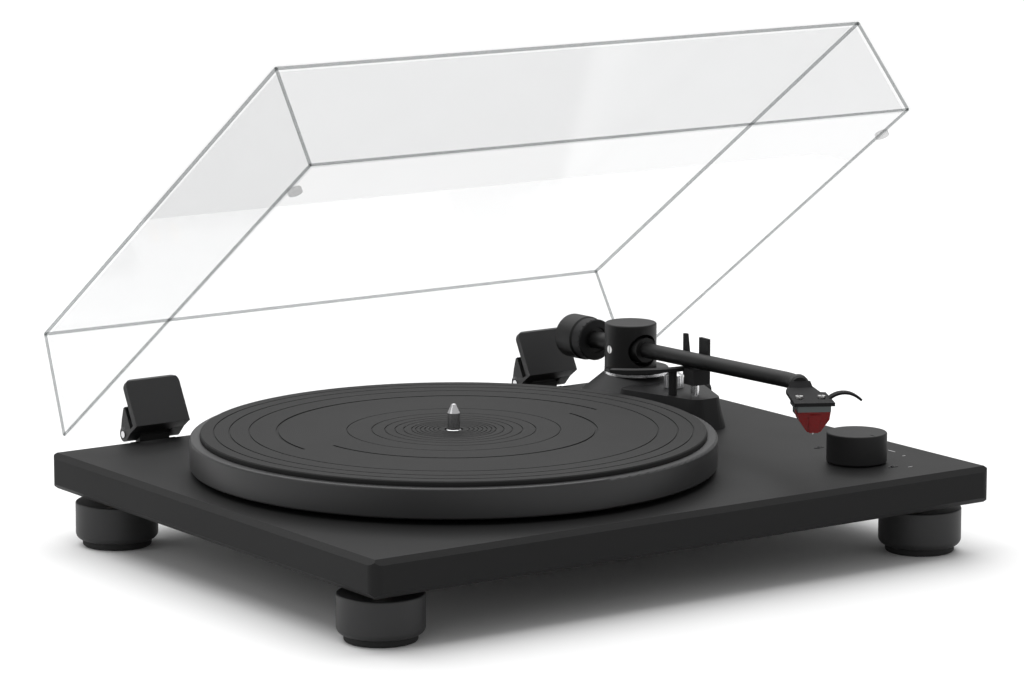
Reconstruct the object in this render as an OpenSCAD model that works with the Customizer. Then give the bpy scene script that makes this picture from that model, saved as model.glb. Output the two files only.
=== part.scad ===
// Belt-drive record player: plinth on four feet, platter, tonearm and a clear dust cover.
// Millimetres. X runs to the right, Y to the back, Z up. The floor is at Z = 0.

/* [Plinth] */
// Width of the plinth
plinth_w = 420; // [400:1:520]
// Depth of the plinth
plinth_d = 341; // [335:1:420]
// Thickness of the plinth
plinth_h = 21; // [19:0.5:32]
// Radius of the upright corners
plinth_corner_r = 6; // [2:0.5:12]
// Bevel along the top and bottom edges
plinth_chamfer = 3; // [1:0.5:5]
// Thickness of the deck over the hollow
deck_t = 6; // [5:0.5:8]
// Thickness of the walls around the hollow
plinth_wall = 12; // [8:0.5:20]
// Thickness of the steel bottom cover
cover_t = 1.5; // [1:0.1:2]

/* [Feet] */
// Radius of a foot
foot_r = 23.7; // [16:0.1:28]
// Height of a foot above its rubber pad
foot_h = 21.9; // [14:0.1:30]
// Radius of the rubber pad
foot_pad_r = 19.8; // [12:0.1:22]
// Height of pad that shows below the foot
foot_pad_h = 3.8; // [2:0.1:6]
// Gap between a foot and the plinth
foot_gap = 4.7; // [3:0.1:8]
// Foot centre from the side of the plinth
foot_from_side = 25.4; // [24:0.1:40]
// Foot centre from the front or back of the plinth
foot_from_front = 32.1; // [24:0.1:50]
// Radius of the threaded stud
stud_r = 4; // [3:0.5:5]

/* [Platter] */
// Radius of the platter
platter_r = 149.4; // [145:0.1:160]
// Height of the platter's rim
platter_h = 17; // [14:0.5:24]
// Air gap between platter and plinth
platter_gap = 3; // [3:0.5:6]
// Platter centre from the left side of the plinth
platter_from_left = 165.6; // [160:0.1:180]
// Platter centre from the front of the plinth
platter_from_front = 169.7; // [160:0.1:190]
// Thickness of the platter's disc
platter_disc_t = 6; // [4:0.5:8]
// Thickness of the platter's rim wall
platter_wall = 7; // [5:0.5:12]
// Width of the platter's rim outside the mat
platter_rim = 6; // [4:0.5:10]
// Thickness of the mat
mat_t = 3.3; // [2:0.1:5]
// Radius of the drive hub under the platter
hub_r = 62; // [45:1:75]
// Radius of the pin that centres a record
spindle_r = 3.6; // [3.5:0.05:3.62]
// Height of the straight part of the pin above the mat
spindle_h = 9.4; // [8:0.1:14]
// Radius of the bearing shaft
shaft_r = 4.95; // [4:0.05:6]

/* [Drive] */
// Distance from the platter's centre to the motor
motor_dist = 95; // [90:1:105]
// Direction of the motor from the platter's centre
motor_angle = 135; // [100:1:160]
// Radius of the motor can
motor_r = 19; // [15:0.5:22]
// Radius of the belt track on the pulley
pulley_r = 7.75; // [6:0.05:10]
// Height of the flat belt
belt_h = 4; // [3:0.5:5]
// Thickness of the flat belt
belt_t = 0.8; // [0.5:0.1:1]

/* [Tonearm] */
// Tonearm pivot from the left side of the plinth
pivot_from_left = 352.5; // [348:0.1:360]
// Tonearm pivot from the front of the plinth
pivot_from_front = 254; // [245:0.1:260]
// Height of the pivot above the deck
pivot_h = 38.1; // [37:0.1:42]
// Distance from the pivot to the stylus, seen from above
arm_length = 223.9; // [218:0.1:226]
// Angle between the tube and the headshell
offset_angle = 27; // [20:0.5:30]
// Angle of the parked tube away from the side of the plinth
park_angle = 2.4; // [0:0.1:5]
// Upward slope of the parked tube
arm_slope = 1.9; // [1:0.1:3]
// Radius of the arm tube
tube_r = 4.6; // [4:0.1:5.6]
// Height of the stylus tip above the mat
stylus_clearance = 1.6; // [1.4:0.1:4]
// Radius of the pivot housing
housing_r = 15.7; // [15:0.1:17]
// Height of the pivot housing
housing_h = 26.6; // [25:0.1:30]
// Radius of the counterweight
weight_r = 13.4; // [11:0.1:14]
// Length of the counterweight
weight_len = 16.5; // [14:0.5:20]
// Height of the arm base above the deck
base_h = 18.6; // [17:0.1:21]

/* [Control knob] */
// Radius of the speed knob
knob_r = 17.3; // [12:0.1:19]
// Height of the speed knob
knob_h = 17.1; // [10:0.1:20]
// Knob centre from the right side of the plinth
knob_from_right = 56; // [45:0.5:60]
// Knob centre from the front of the plinth
knob_from_front = 52.5; // [50:0.5:62]
// Distance from the knob's centre back to the rear indicator
indicator_behind = 44; // [36:0.5:52]
// Distance from the knob's centre forward to the front indicator
indicator_before = 22.5; // [21:0.5:28]

/* [Dust cover] */
// How far the cover's sides stand in from the plinth's sides
cover_inset = 6; // [0:0.5:14]
// Depth of the cover at its rim
cover_d = 330; // [322:1:404]
// Height of the cover
cover_h = 63.5; // [60:0.5:90]
// Wall of the cover
cover_wall = 3; // [2:0.5:4]
// How far each side leans in
side_lean = 4.7; // [2:0.1:8]
// How far the front leans in
front_lean = 6.5; // [2:0.1:10]
// How far the back leans in
back_lean = 8.1; // [4:0.1:10]
// Gap between the closed cover and the plinth
cover_gap = 2.9; // [2.7:0.1:4]
// Angle at which the cover stands open
open_angle = 35; // [0:1:45]
// Hinge axis behind the plinth
hinge_back = 5; // [5:0.5:8]
// Hinge axis above the deck
hinge_up = 3.7; // [3:0.1:6]
// Centre of each hinge from the side of the plinth
hinge_from_side = 70; // [60:1:90]

/* [Fits] */
// Radial clearance of a turning or sliding shaft
run_fit = 0.05; // [0.02:0.01:0.08]
// Clearance between pieces that pass each other
gap = 0.4; // [0.35:0.05:0.5]

/* [Hidden] */

black = [0.035, 0.035, 0.037];
dark = [0.08, 0.08, 0.082];
silver = [0.62, 0.62, 0.63];
$fn = 96;

// ---- levels
plinth_z = foot_pad_h + foot_h + foot_gap;
deck_z = plinth_z + plinth_h;
hollow_top = deck_z - deck_t;
platter_z = deck_z + platter_gap;
platter_top = platter_z + platter_h;
mat_recess = 0.5;
mat_r = platter_r - platter_rim;
cover_w = plinth_w - 2 * cover_inset;
mat_top = platter_top - mat_recess + mat_t;
base_top = deck_z + base_h;
pivot_z = deck_z + pivot_h;
tip_z = mat_top + stylus_clearance;

// ---- hinge axis and the reach of the open cover, measured from the front of the plinth
axis_from_front = plinth_d + hinge_back;
axis_z = deck_z + hinge_up;
rim_z = deck_z + cover_gap;
cover_back = axis_from_front - 9.2;
corner_dy = cover_back - back_lean - axis_from_front;
corner_dz = rim_z + cover_h - axis_z;
reach_back = axis_from_front + corner_dy * cos(open_angle) + corner_dz * sin(open_angle);

// ---- the frame's origin is midway between the front of the plinth and the back of the cover
front_y = -reach_back / 2;
left_x = -plinth_w / 2;
right_x = plinth_w / 2;
back_y = front_y + plinth_d;
mid_y = front_y + plinth_d / 2;
axis_y = front_y + axis_from_front;
platter_c = [left_x + platter_from_left, front_y + platter_from_front];
pivot_c = [left_x + pivot_from_left, front_y + pivot_from_front];
knob_c = [right_x - knob_from_right, front_y + knob_from_front];
motor_c = platter_c + motor_dist * [cos(motor_angle), sin(motor_angle)];

// ---- small sizes shared by pieces that meet
screw_r = 1.5;
foot_c = [[-1, -1], [1, -1], [-1, 1], [1, 1]];
foot_x = plinth_w / 2 - foot_from_side;
foot_y = plinth_d / 2 - foot_from_front;
foot_boss_r = 16;
insert_len = plinth_h - deck_t - 1;
belt_z = platter_z + 3;
bearing_r = 9;
bearing_flange_t = 2.4;
pin_r = 2;
knuckle_r = 4.4;
hinge_w = 36;
bracket_w = 20;
head_back = 60;
bend_r = 50;
bend_len = bend_r * tan(offset_angle / 2);
tube_run = sqrt(pow(arm_length, 2) - pow(head_back * sin(offset_angle), 2))
    - head_back * cos(offset_angle);
plate_top = 19.4;
plate_t = 2;
cradle_s = 64;
platform_s = 57;
rest_z = pivot_z + cradle_s * tan(arm_slope) - tube_r - gap;
platform_z = pivot_z + (platform_s - 3) * tan(arm_slope) - tube_r - gap;
panel_x = -65;
socket_x = [panel_x - 22, panel_x - 8];
inlet_x = panel_x + 38;
ground_x = panel_x - 38;
switch_x = panel_x + 14;
panel_z = plinth_z + plinth_h / 2;
lever_pivot = [12, 26, base_top - 6];
lever_out = 35.6;
knob_s = 37.5;
indicator_y = [indicator_behind, -indicator_before];
stack_z = base_top + 4;
ring_t = 1.6;
swivel_t = 2.2;

// ---- frames
module on_deck(c, z = deck_z) { translate([c[0], c[1], z]) children(); }
// Looks along the parked tube: +X runs towards the headshell, +Y away from the platter.
module arm_frame_level() {
    translate([pivot_c[0], pivot_c[1], pivot_z]) rotate([0, 0, -90 - park_angle]) children();
}
module arm_frame() { arm_frame_level() rotate([0, -arm_slope, 0]) children(); }
// Sits at the end of the bent tube, +X out of it.
module tube_end_frame() {
    arm_frame() translate([tube_run / cos(arm_slope), 0, 0]) rotate([0, 0, -offset_angle])
        translate([bend_len, 0, 0]) children();
}
// Sits at the stylus tip, level, +X to the front of the headshell.
module head_frame() {
    arm_frame_level() translate([tube_run, 0, tip_z - pivot_z]) rotate([0, 0, -offset_angle])
        translate([head_back, 0, 0]) children();
}
// Turns a cover drawn closed to its open pose.
module cover_pose() {
    translate([0, axis_y, axis_z]) rotate([-open_angle, 0, 0]) translate([0, -axis_y, -axis_z])
        children();
}
module at_feet(i) {
    translate([foot_c[i][0] * foot_x, mid_y + foot_c[i][1] * foot_y, 0]) children();
}
module along_x(len) { rotate([90, 0, 90]) translate([0, 0, -len / 2]) linear_extrude(len) children(); }
module along_y(len) { rotate([90, 0, 0]) translate([0, 0, -len / 2]) linear_extrude(len) children(); }
module rod_x(r, len) { rotate([0, 90, 0]) cylinder(r = r, h = len); }
module rod_y(r, len) { rotate([-90, 0, 0]) cylinder(r = r, h = len); }

// ---- plain shapes
module window() {
    square([4.4, 2.6], center = true);
    for (x = [-2.2, 2.2]) translate([x, 0]) circle(1.3);
}
module rounded_rect(w, d, r) {
    square([w - 2 * r, d], center = true);
    square([w, d - 2 * r], center = true);
    for (x = [-1, 1], y = [-1, 1])
        translate([x * (w / 2 - r), y * (d / 2 - r)]) circle(r);
}
function bevel_profile(w, h, c) = [[-w / 2 + c, 0], [w / 2 - c, 0], [w / 2, c], [w / 2, h - c],
    [w / 2 - c, h], [-w / 2 + c, h], [-w / 2, h - c], [-w / 2, c]];
module screw(len, head_r = 2.8, head_h = 1.8) {
    translate([0, 0, -len]) cylinder(r = screw_r, h = len);
    difference() {
        cylinder(r = head_r, h = head_h);
        translate([0, 0, head_h - 1]) cylinder(r = 1.3, h = 2, $fn = 6);
    }
}
// A strip that follows an arc in the XY plane, from angle a0 to a1.
function arc_strip(r, t, a0, a1, n = 24) = concat(
    [for (i = [0:n]) let (a = a0 + (a1 - a0) * i / n) (r + t / 2) * [cos(a), sin(a)]],
    [for (i = [n:-1:0]) let (a = a0 + (a1 - a0) * i / n) (r - t / 2) * [cos(a), sin(a)]]);

// ---- plinth and what closes it
module hollow_outline(inset = 0) {
    w = plinth_w - 2 * (plinth_wall + inset);
    d = plinth_d - 2 * (plinth_wall + inset);
    difference() {
        square([w, d], center = true);
        for (c = foot_c) translate([c[0] * foot_x, c[1] * foot_y]) {
            circle(foot_boss_r + inset);
            translate([c[0] * foot_boss_r, 0])
                square([2 * foot_boss_r, 2 * (foot_boss_r + inset)], center = true);
            translate([0, c[1] * foot_boss_r])
                square([2 * (foot_boss_r + inset), 2 * foot_boss_r], center = true);
        }
    }
}
cover_screw_at = [for (x = [-1, 0, 1], y = [-1, 1]) [x * (plinth_w / 2 - 90), y * (plinth_d / 2 - 20)]];

module plinth() {
    color(dark) difference() {
        translate([0, mid_y, plinth_z]) intersection() {
            linear_extrude(plinth_h) rounded_rect(plinth_w, plinth_d, plinth_corner_r);
            along_y(plinth_d + 2) polygon(bevel_profile(plinth_w, plinth_h, plinth_chamfer));
            along_x(plinth_w + 2) polygon(bevel_profile(plinth_d, plinth_h, plinth_chamfer));
        }
        difference() {
            translate([0, mid_y, plinth_z - 1]) linear_extrude(plinth_h - deck_t + 1)
                hollow_outline();
            for (p = cover_screw_at) translate([p[0], mid_y + p[1], plinth_z + cover_t]) difference() {
                cylinder(r = 5, h = plinth_h);
                translate([0, 0, -1]) cylinder(r = screw_r, h = 11);
            }
        }
        for (i = [0:3]) at_feet(i) translate([0, 0, plinth_z - 1]) cylinder(r = 6, h = insert_len + 1);
        on_deck(platter_c, hollow_top - 1) cylinder(r = bearing_r + gap, h = deck_t + 2);
        for (a = [90, 210, 330])
            on_deck(platter_c) rotate(a) translate([15, 0, -5]) cylinder(r = screw_r, h = 6);
        on_deck(motor_c, hollow_top - 1) cylinder(r = 5, h = deck_t + 2);
        on_deck(pivot_c, hollow_top - 1) cylinder(r = 9, h = deck_t + 2);
        on_deck(knob_c, hollow_top - 1) cylinder(r = 4, h = deck_t + 2);
        for (y = indicator_y) on_deck(knob_c + [8, y], hollow_top - 1)
            linear_extrude(deck_t + 2) window();
        translate([panel_x, back_y - plinth_wall / 2, panel_z])
            cube([90, plinth_wall + 2, 11], center = true);
        for (s = [-1, 1]) translate([panel_x + s * 47, back_y - 8, panel_z]) rod_y(screw_r, 9);
        for (s = [-1, 1], t = [-1, 1])
            translate([s * (right_x - hinge_from_side) + t * 6, back_y - 10, panel_z]) rod_y(screw_r, 11);
    }
}

module bottom_cover() {
    color("dimgray") difference() {
        translate([0, mid_y, plinth_z]) linear_extrude(cover_t) hollow_outline(gap);
        for (p = cover_screw_at)
            translate([p[0], mid_y + p[1], plinth_z - 1]) cylinder(r = screw_r + 0.2, h = 4);
        for (x = [-3:3]) translate([motor_c[0] + x * 6, motor_c[1], plinth_z])
            cube([2, 24, 6], center = true);
    }
}

module cover_screws() {
    color("gray") for (p = cover_screw_at)
        translate([p[0], mid_y + p[1], plinth_z]) rotate([180, 0, 0]) screw(9);
}

module foot_inserts() {
    color("goldenrod") for (i = [0:3]) at_feet(i) translate([0, 0, plinth_z]) difference() {
        cylinder(r = 6, h = insert_len);
        translate([0, 0, -1]) cylinder(r = stud_r + run_fit, h = insert_len + 2);
    }
}

// ---- feet
module foot(i) {
    edge = 4;
    color(black) at_feet(i) rotate_extrude() difference() {
        union() {
            translate([0, foot_pad_h]) square([foot_r - edge, foot_h]);
            translate([0, foot_pad_h + edge]) square([foot_r, foot_h - edge - 1]);
            translate([0, foot_pad_h + foot_h - 2]) square([foot_r - 1, 2]);
            translate([foot_r - edge, foot_pad_h + edge]) circle(edge);
            translate([foot_r - 1, foot_pad_h + foot_h - 1]) circle(1);
        }
        translate([-1, 0]) square([foot_pad_r + 1, foot_pad_h + 1]);
        translate([-1, foot_pad_h + 6]) square([stud_r + 1, foot_h]);
        translate([-foot_r, 0]) square([foot_r, 2 * foot_h]);
    }
}
module stud(i) {
    color("gray") at_feet(i) translate([0, 0, foot_pad_h + 6])
        cylinder(r = stud_r, h = foot_h - 6 + foot_gap + insert_len - 3);
}
module pad(i) {
    edge = 1.2;
    color([0.02, 0.02, 0.02]) at_feet(i) rotate_extrude() union() {
        square([foot_pad_r - edge, foot_pad_h + 1]);
        translate([0, edge]) square([foot_pad_r, foot_pad_h + 1 - edge]);
        intersection() {
            translate([foot_pad_r - edge, edge]) circle(edge);
            square([foot_pad_r, foot_pad_h]);
        }
    }
}
module foot_front_left() { foot(0); }
module foot_front_right() { foot(1); }
module foot_back_left() { foot(2); }
module foot_back_right() { foot(3); }
module stud_front_left() { stud(0); }
module stud_front_right() { stud(1); }
module stud_back_left() { stud(2); }
module stud_back_right() { stud(3); }
module pad_front_left() { pad(0); }
module pad_front_right() { pad(1); }
module pad_back_left() { pad(2); }
module pad_back_right() { pad(3); }

// ---- platter, its bearing and the belt drive
module main_bearing() {
    bottom = plinth_z + cover_t + 0.6;
    color("goldenrod") on_deck(platter_c, 0) difference() {
        union() {
            translate([0, 0, bottom]) cylinder(r = bearing_r, h = deck_z - bottom);
            translate([0, 0, deck_z]) cylinder(r = 20, h = bearing_flange_t);
        }
        translate([0, 0, bottom + 1.2]) cylinder(r = shaft_r + run_fit, h = plinth_h + 9);
        for (a = [90, 210, 330])
            rotate(a) translate([15, 0, deck_z - 1]) cylinder(r = screw_r + 0.2, h = 6);
    }
}
module bearing_screws() {
    color("gray") for (a = [90, 210, 330])
        on_deck(platter_c) rotate(a) translate([15, 0, bearing_flange_t]) scale(0.999)
            screw(6, 2.4, 0.4);
}
module thrust_ball() {
    color("silver") on_deck(platter_c, plinth_z + cover_t + 1.8 + 3) sphere(3);
}
module spindle() {
    shaft_bottom = plinth_z + cover_t + 1.8 + 6 + run_fit;
    pin_top = mat_top + spindle_h;
    color(silver) on_deck(platter_c, 0) rotate_extrude() polygon([
        [0, shaft_bottom], [shaft_r - 0.5, shaft_bottom], [shaft_r, shaft_bottom + 0.5],
        [shaft_r, platter_top - platter_disc_t], [shaft_r, mat_top - 1],
        [spindle_r + 0.3, mat_top], [spindle_r, mat_top], [spindle_r, pin_top],
        [1.3, pin_top + 5], [0, pin_top + 5.3]]);
}
module platter() {
    r0 = platter_r;
    edge = 1.2;
    color(black) on_deck(platter_c, platter_z) rotate_extrude() difference() {
        union() {
            translate([0, platter_h - platter_disc_t]) square([r0 - edge, platter_disc_t]);
            translate([r0 - platter_wall, edge]) square([platter_wall, platter_h - 2 * edge]);
            translate([r0 - platter_wall, 0]) square([platter_wall - edge, platter_h]);
            for (z = [edge, platter_h - edge]) translate([r0 - edge, z]) circle(edge);
            translate([hub_r - 6, 1.5]) square([6, platter_h - 1.5]);
            translate([0, 3]) square([12, platter_h - 3]);
        }
        translate([-1, platter_h - mat_recess]) square([mat_r + 0.6 + 1, 1]);
        translate([-1, 0]) square([shaft_r + 1, platter_h]);
    }
}
// Grooves: full rings by radius, then the two wide half rings.
ring_grooves = [135.7, 126.9, 115.8, 60.5, 46.5, 39, 33.3, 28.5, 24, 21.6, 19, 16.5, 14, 11.5, 9];
module platter_mat() {
    k = mat_r / 143.4;
    color([0.09, 0.09, 0.09]) on_deck(platter_c, platter_top - mat_recess) difference() {
        rotate_extrude() difference() {
            translate([shaft_r + gap, 0]) square([mat_r - shaft_r - gap, mat_t]);
            for (r = ring_grooves)
                translate([k * r, mat_t]) square([r > 100 ? 0.9 : 0.6, 1], center = true);
            translate([mat_r, mat_t]) rotate(45) square(0.8, center = true);
        }
        translate([0, 0, mat_t - 0.6]) rotate_extrude(angle = 180)
            translate([k * 99.9 - 0.8, 0]) square([1.6, 1]);
        translate([0, 0, mat_t - 0.6]) rotate([0, 0, 180]) rotate_extrude(angle = 180)
            translate([k * 80.9 - 0.8, 0]) square([1.6, 1]);
    }
}
motor_h = plinth_h - deck_t - cover_t - 1.6;
module motor() {
    color("silver") on_deck(motor_c, hollow_top - motor_h) difference() {
        union() {
            cylinder(r = motor_r, h = motor_h - 2);
            cylinder(r = motor_r - 1, h = motor_h);
            for (a = [0, 180]) rotate(a) translate([motor_r - 2, -5, motor_h - 2]) cube([9, 10, 2]);
        }
        translate([0, 0, 2]) cylinder(r = 1.5 + run_fit, h = motor_h);
        for (a = [0, 180]) rotate(a) translate([motor_r + 3.5, 0, motor_h - 3]) cylinder(r = 1.7, h = 4);
    }
}
module pulley() {
    color("silver") on_deck(motor_c, 0) union() {
        translate([0, 0, hollow_top - motor_h + 2.4])
            cylinder(r = 1.5, h = belt_z - hollow_top + motor_h - 2.4);
        translate([0, 0, belt_z - 1.6]) cylinder(r = pulley_r + 1.2, h = 1);
        translate([0, 0, belt_z - 0.8]) cylinder(r = pulley_r, h = belt_h + 1.6);
        translate([0, 0, belt_z + belt_h + 0.6]) cylinder(r = pulley_r + 1.2, h = 1);
    }
}
// Points of a belt drawn round the hub and the pulley, grown by g from their faces.
function belt_points(g) = let (lean = acos((hub_r - pulley_r) / motor_dist)) concat(
    [for (i = [0:60]) let (a = lean + (360 - 2 * lean) * i / 60) (hub_r + g) * [cos(a), sin(a)]],
    [for (i = [0:16]) let (a = lean * (i / 8 - 1))
        [motor_dist, 0] + (pulley_r + g) * [cos(a), sin(a)]]);
module drive_belt() {
    color([0.05, 0.04, 0.04]) on_deck(platter_c, belt_z) rotate([0, 0, motor_angle])
        linear_extrude(belt_h) difference() {
            polygon(belt_points(gap + belt_t));
            polygon(belt_points(gap));
        }
}

// ---- electronics and controls
board_c = knob_c + [-62, 6];
module circuit_board() {
    z = hollow_top - 6;
    color("darkgreen") on_deck(board_c, z) difference() {
        union() {
            translate([-42, -26, 0]) cube([84, 52, 1.6]);
            for (x = [-37, 37], y = [-21, 21]) translate([x, y, 1.6]) cylinder(r = 3, h = 4.4);
            translate([-20, -8, -2]) cube([14, 14, 2]);
            translate([2, 4, -2.5]) cube([9, 6, 2.5]);
            for (x = [14:7:28]) translate([x, -12, -4.5]) cylinder(r = 2.5, h = 4.5);
        }
        for (x = [-37, 37], y = [-21, 21]) translate([x, y, -1]) cylinder(r = 1.4, h = 9);
    }
}
module speed_switch() {
    color("gray") on_deck(knob_c, 0) difference() {
        union() {
            translate([-6.5, -6.5, hollow_top - 6.5]) cube([13, 13, 6.5]);
            translate([0, 0, hollow_top - 1]) cylinder(r = 3.9, h = deck_t);
        }
        translate([0, 0, hollow_top - 5]) cylinder(r = 2.5 + run_fit, h = 20);
    }
}
module speed_knob() {
    edge = 0.8;
    color(dark) on_deck(knob_c, 0) difference() {
        union() {
            translate([0, 0, deck_z + 0.6]) rotate_extrude() union() {
                square([knob_r - edge, knob_h]);
                translate([0, edge]) square([knob_r, knob_h - 2 * edge]);
                for (z = [edge, knob_h - edge]) translate([knob_r - edge, z])
                    intersection() {
                        circle(edge);
                        translate([-knob_r + edge, -edge]) square([knob_r, 2 * edge]);
                    }
            }
            translate([0, 0, hollow_top - 4.8]) cylinder(r = 2.5, h = deck_t + 6);
        }
        translate([0, -knob_r + 3.5, deck_z + 0.6 + knob_h]) cube([0.8, 4, 0.8], center = true);
    }
}
module indicator_lights() {
    // Light pipes: a window flush with the deck and a small bright dome on it.
    color([0.2, 0.2, 0.22]) for (y = indicator_y)
        on_deck(knob_c + [8, y], hollow_top - 0.5) union() {
            linear_extrude(deck_t + 0.7) window();
            translate([0, 0.4, deck_t + 0.7]) cylinder(r1 = 0.9, r2 = 0.5, h = 0.5);
        }
}
module rear_panel() {
    color(black) difference() {
        translate([panel_x - 50, back_y, panel_z - 7]) cube([100, 1.2, 14]);
        for (x = socket_x) translate([x, back_y - 1, panel_z]) rod_y(4.2, 4);
        translate([inlet_x, back_y - 1, panel_z]) rod_y(5.5, 4);
        translate([ground_x, back_y - 1, panel_z]) rod_y(2.1, 4);
        translate([switch_x, back_y, panel_z]) cube([9, 5, 3.4], center = true);
        for (s = [-1, 1]) translate([panel_x + s * 47, back_y - 1, panel_z]) rod_y(1.7, 4);
    }
}
module signal_sockets() {
    color("goldenrod") for (x = socket_x) translate([x, back_y, panel_z]) difference() {
        union() {
            translate([0, -9, 0]) rod_y(4.1, 18);
            translate([0, 1.25, 0]) rod_y(5.6, 1.5);
            translate([0, -8, 0]) cube([12, 8, 10], center = true);
        }
        translate([0, 1, 0]) rod_y(3.4, 10);
    }
}
module power_inlet() {
    color(black) translate([inlet_x, back_y, panel_z]) difference() {
        union() {
            translate([0, -9, 0]) rod_y(5.4, 10.8);
            translate([0, 1.2, 0]) rod_y(7, 1.4);
            translate([0, -8, 0]) cube([13, 9, 10.6], center = true);
        }
        translate([0, -6, 0]) difference() {
            rod_y(2.9, 12);
            rod_y(1, 7);
        }
    }
}
module ground_terminal() {
    color("silver") translate([ground_x, back_y, panel_z]) union() {
        translate([0, -6, 0]) rod_y(2, 13);
        translate([0, 1.2, 0]) rod_y(4, 1);
        translate([0, 3, 0]) difference() {
            rod_y(4.4, 5);
            for (a = [0:24:336]) rotate([0, a, 0]) translate([4.7, -1, 0]) rod_y(0.6, 7);
        }
    }
}
module preamp_switch() {
    color(black) translate([switch_x - 1.5, back_y, panel_z]) union() {
        translate([0, -1, 0]) cube([4, 7, 2.6], center = true);
        translate([0, -3, 0]) cube([8, 2, 5], center = true);
    }
}

// ---- arm base and what stands on it
// Outline of the wing that carries the arm rest, drawn in the arm's frame, grown by g.
wing_corners = [[71.4, -1.5], [70.8, 7], [26, -16], [20, 26.5]];
wing_corner_r = 7;
module wing_outline(g) { for (c = wing_corners) translate(c) circle(wing_corner_r + g, $fn = 32); }
module arm_base() {
    draft = 4;
    color(dark) difference() {
        union() {
            on_deck(pivot_c) cylinder(r1 = 44, r2 = housing_r + 1.3, h = stack_z - deck_z);
            arm_frame_level() translate([0, 0, deck_z - pivot_z]) hull() {
                linear_extrude(0.1) wing_outline(draft);
                translate([0, 0, base_h - 0.1]) linear_extrude(0.1) wing_outline(0);
            }
        }
        on_deck(pivot_c, deck_z - 1) cylinder(r = 8, h = base_h + 8);
        arm_frame_level() translate([0, 0, base_top - pivot_z]) {
            translate([cradle_s + 4, 0, -6]) cylinder(r = 2.5, h = 8);
            translate([knob_s, 6, -6]) cylinder(r = 2 + run_fit, h = 8);
            rotate([0, 0, -8]) translate([platform_s, 0, -16]) cylinder(r = 2.5 + run_fit, h = 18);
        }
        arm_frame_level() translate([lever_pivot[1], lever_pivot[0] - 4, lever_pivot[2] - pivot_z])
            rod_y(1.5 + run_fit, 40);
    }
}
module arm_bearing() {
    color("goldenrod") on_deck(pivot_c, deck_z) difference() {
        cylinder(r = 8, h = stack_z - deck_z);
        translate([0, 0, 3]) cylinder(r = 5, h = base_h + 8);
    }
}
// Centre of the two discs under the pivot housing, set a little towards the arm rest.
module disc_frame(z) {
    on_deck(pivot_c, z) difference() {
        translate([3, -2, 0]) children();
        translate([0, 0, -1]) cylinder(r = 6, h = 6);
    }
}
module base_ring() {
    color(silver) disc_frame(stack_z) cylinder(r = housing_r + 3.9, h = ring_t);
}
module swivel_plate() {
    color(black) disc_frame(stack_z + ring_t) union() {
        cylinder(r = housing_r + 3.7, h = swivel_t - 0.4);
        cylinder(r = housing_r + 3.3, h = swivel_t);
    }
}
module arm_rest_post() {
    color(silver) arm_frame_level() translate([cradle_s + 4, 0, base_top - pivot_z - 6])
        cylinder(r = 2.5, h = 13.5);
}
module arm_rest() {
    // Saddle under the tube with two tall fingers on the side away from the platter.
    side = tube_r + 0.9;
    finger = 2;
    low = base_top + 7.5 - pivot_z;
    seat = rest_z - pivot_z;
    color(black) arm_frame_level() union() {
        translate([cradle_s - 1, -4.5, low]) cube([10, 4.5 + side + finger, seat - low]);
        translate([cradle_s, side, low]) cube([9, finger, 18 + seat - low]);
        translate([cradle_s - 16.5, side, low + 2]) cube([18, finger, seat - low - 2]);
        translate([cradle_s - 16.5, side, seat - 2]) rotate([-90, 0, 0]) linear_extrude(finger)
            polygon([[0, 0], [0, -20], [3, -20], [6.4, 0]]);
    }
}
module antiskate_knob() {
    color(silver) arm_frame_level() translate([knob_s, 6, base_top - pivot_z]) union() {
        translate([0, 0, -5]) cylinder(r = 2, h = 6);
        difference() {
            translate([0, 0, 0.3]) cylinder(r = 5.8, h = 7.6);
            for (a = [0:15:345]) rotate([0, 0, a]) translate([6, 0, 1]) cylinder(r = 0.5, h = 9);
        }
        translate([0, 0, 7.9]) cylinder(r1 = 5.2, r2 = 4, h = 0.8);
        translate([0, 0, 8.7]) cylinder(r1 = 4, r2 = 2.2, h = 1.6);
    }
}
module lift_platform() {
    color(black) arm_frame_level() union() {
        translate([0, 0, platform_z - pivot_z - 2]) rotate([0, 0, -46]) rotate_extrude(angle = 49)
            translate([platform_s - 3, 0]) square([6, 2]);
        rotate([0, 0, -8]) translate([platform_s, 0, base_top - pivot_z - 10])
            cylinder(r = 2.5, h = platform_z - 1 - base_top + 10);
    }
}
module lift_lever() {
    // Lies along the outer side of the base; its handle is the rounded tip.
    out = lever_out + gap;
    color(black) arm_frame_level() translate([lever_pivot[1], 0, lever_pivot[2] - pivot_z]) union() {
        translate([0, lever_pivot[0], 0]) rod_y(1.5, out - lever_pivot[0] + 1);
        translate([0, out, 0]) rod_y(4, 3);
        translate([-20, out, -1.5]) cube([20, 3, 3]);
        translate([-21, out, 0]) rod_y(3.2, 3);
    }
}

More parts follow.
